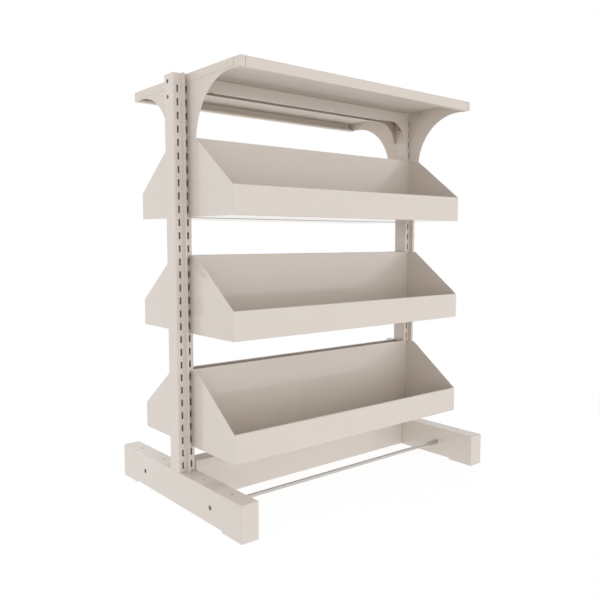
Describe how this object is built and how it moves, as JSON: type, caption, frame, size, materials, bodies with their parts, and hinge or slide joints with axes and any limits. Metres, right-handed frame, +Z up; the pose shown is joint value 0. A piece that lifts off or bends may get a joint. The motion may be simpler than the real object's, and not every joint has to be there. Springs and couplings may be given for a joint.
{
  "type": "double-sided shelving unit",
  "caption": "Free-standing double-sided steel shelving unit: slotted posts on flat feet carry sloping-sided bins in tiers on both sides under a bracketed canopy.",
  "frame": {"origin": "on the floor, midway between the two feet's ends and the two posts, under the centre of the bay", "axes": "+X from the left post to the right post, +Y from the front to the back, +Z up; the front is the side the picture shows"},
  "size_m": [0.876, 0.592, 1.072],
  "materials": {
    "frame_paint": "satin powder coat, warm light greige",
    "bin_paint": "satin powder coat, warm light greige",
    "canopy_paint": "satin powder coat, warm light greige",
    "chrome_rod": "polished",
    "zinc_steel": "bright zinc plate",
    "cap_plastic": "matte, moulded in the paint's colour",
    "pad_plastic": "matte black"
  },
  "bodies": {
    "frame": {"post_left_outer_channel": "frame_paint", "post_left_inner_channel": "frame_paint", "post_left_cap": "cap_plastic", "post_left_spigot": "frame_paint", "post_left_web": "frame_paint", "foot_left": "frame_paint", "post_right_outer_channel": "frame_paint", "post_right_inner_channel": "frame_paint", "post_right_cap": "cap_plastic", "post_right_spigot": "frame_paint", "post_right_web": "frame_paint", "foot_right": "frame_paint", "top_crossbeam": "frame_paint", "base_crossbeam": "frame_paint", "glide_bridges": "zinc_steel", "crossbeam_bolts": "frame_paint", "crossbeam_nuts": "zinc_steel", "tie_rod_front": "chrome_rod", "tie_rod_back": "chrome_rod", "tie_rod_sleeves": "chrome_rod", "tie_rod_bolts": "zinc_steel"},
    "bin_front_1": {"bin_front_1_trough": "bin_paint", "bin_front_1_end_left": "bin_paint", "bin_front_1_end_right": "bin_paint"},
    "bin_front_2": {"bin_front_2_trough": "bin_paint", "bin_front_2_end_left": "bin_paint", "bin_front_2_end_right": "bin_paint"},
    "bin_front_3": {"bin_front_3_trough": "bin_paint", "bin_front_3_end_left": "bin_paint", "bin_front_3_end_right": "bin_paint"},
    "canopy_front": {"canopy_front_tray": "canopy_paint", "canopy_front_bracket_left": "canopy_paint", "canopy_front_bracket_right": "canopy_paint", "canopy_front_screws": "canopy_paint"},
    "bin_back_1": {"bin_back_1_trough": "bin_paint", "bin_back_1_end_left": "bin_paint", "bin_back_1_end_right": "bin_paint"},
    "bin_back_2": {"bin_back_2_trough": "bin_paint", "bin_back_2_end_left": "bin_paint", "bin_back_2_end_right": "bin_paint"},
    "bin_back_3": {"bin_back_3_trough": "bin_paint", "bin_back_3_end_left": "bin_paint", "bin_back_3_end_right": "bin_paint"},
    "canopy_back": {"canopy_back_tray": "canopy_paint", "canopy_back_bracket_left": "canopy_paint", "canopy_back_bracket_right": "canopy_paint", "canopy_back_screws": "canopy_paint"},
    "glide_left_front": {"glide_pad_left_front": "pad_plastic", "glide_stud_left_front": "zinc_steel"},
    "glide_left_back": {"glide_pad_left_back": "pad_plastic", "glide_stud_left_back": "zinc_steel"},
    "glide_right_front": {"glide_pad_right_front": "pad_plastic", "glide_stud_right_front": "zinc_steel"},
    "glide_right_back": {"glide_pad_right_back": "pad_plastic", "glide_stud_right_back": "zinc_steel"}
  },
  "joints": [
    {"name": "bin_front_1_lift", "type": "slide", "parent": "frame", "child": "bin_front_1", "axis": [0, 0, 1], "range_m": [0, 0.0085]},
    {"name": "bin_front_2_lift", "type": "slide", "parent": "frame", "child": "bin_front_2", "axis": [0, 0, 1], "range_m": [0, 0.0085]},
    {"name": "bin_front_3_lift", "type": "slide", "parent": "frame", "child": "bin_front_3", "axis": [0, 0, 1], "range_m": [0, 0.0085]},
    {"name": "canopy_front_lift", "type": "slide", "parent": "frame", "child": "canopy_front", "axis": [0, 0, 1], "range_m": [0, 0.0085]},
    {"name": "bin_back_1_lift", "type": "slide", "parent": "frame", "child": "bin_back_1", "axis": [0, 0, 1], "range_m": [0, 0.0085]},
    {"name": "bin_back_2_lift", "type": "slide", "parent": "frame", "child": "bin_back_2", "axis": [0, 0, 1], "range_m": [0, 0.0085]},
    {"name": "bin_back_3_lift", "type": "slide", "parent": "frame", "child": "bin_back_3", "axis": [0, 0, 1], "range_m": [0, 0.0085]},
    {"name": "canopy_back_lift", "type": "slide", "parent": "frame", "child": "canopy_back", "axis": [0, 0, 1], "range_m": [0, 0.0085]},
    {"name": "glide_left_front_height", "type": "slide", "parent": "frame", "child": "glide_left_front", "axis": [0, 0, -1], "range_m": [0, 0.012]},
    {"name": "glide_left_back_height", "type": "slide", "parent": "frame", "child": "glide_left_back", "axis": [0, 0, -1], "range_m": [0, 0.012]},
    {"name": "glide_right_front_height", "type": "slide", "parent": "frame", "child": "glide_right_front", "axis": [0, 0, -1], "range_m": [0, 0.012]},
    {"name": "glide_right_back_height", "type": "slide", "parent": "frame", "child": "glide_right_back", "axis": [0, 0, -1], "range_m": [0, 0.012]}
  ],
  "couplings": [
    {"joint": "canopy_front_lift", "follows": "bin_front_3_lift", "ratio": 1},
    {"joint": "canopy_back_lift", "follows": "bin_back_3_lift", "ratio": 1}
  ]
}
